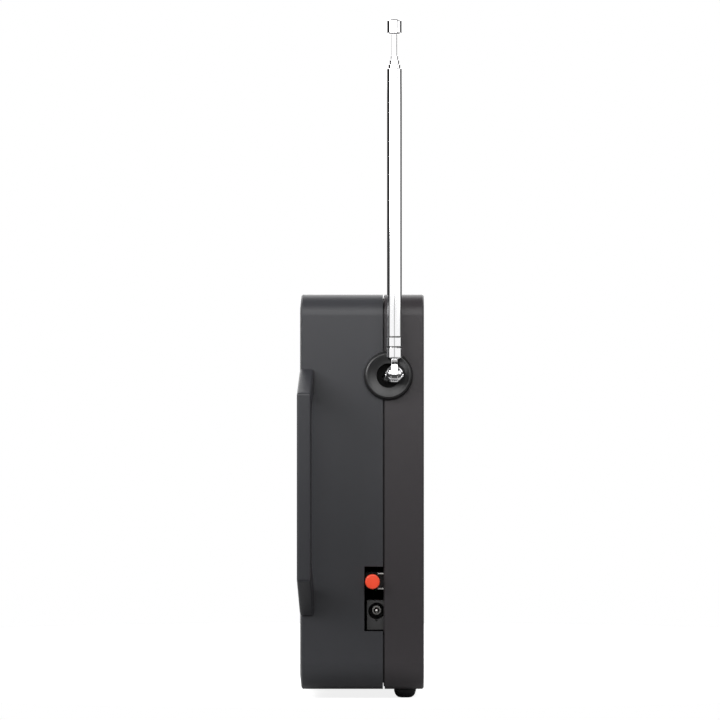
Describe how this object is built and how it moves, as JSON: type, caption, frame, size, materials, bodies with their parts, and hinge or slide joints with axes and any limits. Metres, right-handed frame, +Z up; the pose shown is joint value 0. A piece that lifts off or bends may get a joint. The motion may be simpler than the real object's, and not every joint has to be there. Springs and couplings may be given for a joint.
{
  "type": "tabletop radio",
  "caption": "Slim upright two-shell tabletop radio with a folding telescopic antenna on one end, end grips, slide-rule dial, speaker grille and thumbwheels.",
  "frame": {"origin": "middle of the bounding box's underside: the table, midway between the two end grips and between the front face and the grips' rear faces", "axes": "+X along the width, from the antenna's end to the thumbwheels' end; -Y is the front face with the dial and grille; +Z up"},
  "size_m": [0.2726, 0.047, 0.2521],
  "materials": {
    "front_black": "satin black moulded ABS, very slightly warm",
    "case_black": "satin black moulded ABS, very slightly cool",
    "gloss_black": "glossy black",
    "inner_black": "dull black",
    "jack_plastic": "dark grey moulding",
    "foot_rubber": "matt black",
    "antenna_chrome": "bright chrome plate",
    "steel": "zinc-plated",
    "red_cap": "orange-red, semi-gloss",
    "grille_metal": "black painted perforated sheet",
    "lens_clear": "clear acrylic",
    "dial_ivory": "printed ivory card",
    "pointer_red": "red",
    "paper_cone": "pressed black paper",
    "board_green": "green solder mask",
    "ferrite": "dark grey ceramic",
    "white_plastic": "natural moulding",
    "copper_wire": "enamelled copper winding"
  },
  "bodies": {
    "cabinet": {"front_shell": "front_black", "rear_shell": "case_black", "left_grip": "case_black", "right_grip": "case_black", "power_switch_body": "inner_black", "headphone_jack": "inner_black", "battery_tray": "inner_black", "dc_jack_body": "jack_plastic", "left_foot": "foot_rubber", "right_foot": "foot_rubber", "dial_chassis": "steel", "band_switch_body": "steel", "volume_control": "steel", "power_switch_frame": "steel", "speaker_frame": "steel", "dc_jack_pin": "steel", "battery_contact_left": "steel", "battery_contact_right": "steel", "battery_spring_left": "steel", "battery_spring_right": "steel", "case_screw_1": "steel", "case_screw_2": "steel", "case_screw_3": "steel", "case_screw_4": "steel", "board_screw_1": "steel", "board_screw_2": "steel", "board_screw_3": "steel", "board_screw_4": "steel", "board_screw_5": "steel", "speaker_grille": "grille_metal", "dial_lens": "lens_clear", "dial_scale": "dial_ivory", "indicator_lamp": "pointer_red", "speaker_cone": "paper_cone", "main_board": "board_green", "power_board": "board_green", "ferrite_rod": "ferrite", "speaker_magnet": "ferrite", "tuning_capacitor": "white_plastic", "aerial_holder": "white_plastic", "aerial_coil": "copper_wire"},
    "antenna_base": {"antenna_turret": "gloss_black", "turret_retainer": "steel", "antenna_clevis": "antenna_chrome", "elbow_pin": "steel"},
    "antenna_arm": {"antenna_knuckle": "antenna_chrome", "antenna_tube_1": "antenna_chrome"},
    "antenna_section_2": {"antenna_tube_2": "antenna_chrome"},
    "antenna_section_3": {"antenna_tube_3": "antenna_chrome"},
    "antenna_section_4": {"antenna_tube_4": "antenna_chrome"},
    "antenna_section_5": {"antenna_rod": "antenna_chrome", "antenna_tip": "antenna_chrome"},
    "power_button": {"power_button": "red_cap", "power_button_stem": "white_plastic"},
    "tuning_wheel": {"tuning_wheel": "gloss_black"},
    "tuning_drum": {"tuning_drum": "white_plastic"},
    "dial_pointer": {"dial_pointer": "pointer_red"},
    "volume_wheel": {"volume_wheel": "gloss_black"},
    "band_switch_knob": {"band_switch_knob": "gloss_black"},
    "battery_door": {"battery_door": "case_black"}
  },
  "joints": [
    {"name": "turret_turn", "type": "hinge", "parent": "cabinet", "child": "antenna_base", "pos_m": [-0.118, -0.0103, 0.1203], "axis": [1, 0, 0], "range_deg": [-75, 120]},
    {"name": "elbow_fold", "type": "hinge", "parent": "antenna_base", "child": "antenna_arm", "pos_m": [-0.1244, -0.0125, 0.1209], "axis": [0, -1, 0], "range_deg": [0, 90]},
    {"name": "section_2_pull", "type": "slide", "parent": "antenna_arm", "child": "antenna_section_2", "axis": [0, 0, 1], "range_m": [0, 0.085]},
    {"name": "section_3_pull", "type": "slide", "parent": "antenna_section_2", "child": "antenna_section_3", "axis": [0, 0, 1], "range_m": [0, 0.085]},
    {"name": "section_4_pull", "type": "slide", "parent": "antenna_section_3", "child": "antenna_section_4", "axis": [0, 0, 1], "range_m": [0, 0.085]},
    {"name": "section_5_pull", "type": "slide", "parent": "antenna_section_4", "child": "antenna_section_5", "axis": [0, 0, 1], "range_m": [0, 0.085]},
    {"name": "power_press", "type": "slide", "parent": "cabinet", "child": "power_button", "axis": [1, 0, 0], "range_m": [0, 0.0025], "stiffness_N_per_m": 300},
    {"name": "tuning_turn", "type": "hinge", "parent": "cabinet", "child": "tuning_wheel", "pos_m": [0.102, -0.0195, 0.08], "axis": [0, 1, 0], "range_deg": [-540, 540]},
    {"name": "drum_turn", "type": "hinge", "parent": "cabinet", "child": "tuning_drum", "pos_m": [0.06, -0.0142, 0.08], "axis": [0, 1, 0], "range_deg": [-165, 165]},
    {"name": "pointer_travel", "type": "slide", "parent": "cabinet", "child": "dial_pointer", "axis": [1, 0, 0], "range_m": [-0.072, 0.072]},
    {"name": "volume_turn", "type": "hinge", "parent": "cabinet", "child": "volume_wheel", "pos_m": [0.1075, -0.0195, 0.04], "axis": [0, 1, 0], "range_deg": [0, 270]},
    {"name": "band_slide", "type": "slide", "parent": "cabinet", "child": "band_switch_knob", "axis": [1, 0, 0], "range_m": [-0.003, 0.003]},
    {"name": "door_open", "type": "hinge", "parent": "cabinet", "child": "battery_door", "pos_m": [0.038, 0.0224, 0.0107], "axis": [-1, 0, 0], "range_deg": [0, 95]}
  ],
  "couplings": [
    {"joint": "pointer_travel", "follows": "tuning_turn", "m_per_rad": 0.00763},
    {"joint": "drum_turn", "follows": "tuning_turn", "ratio": 0.3052}
  ]
}
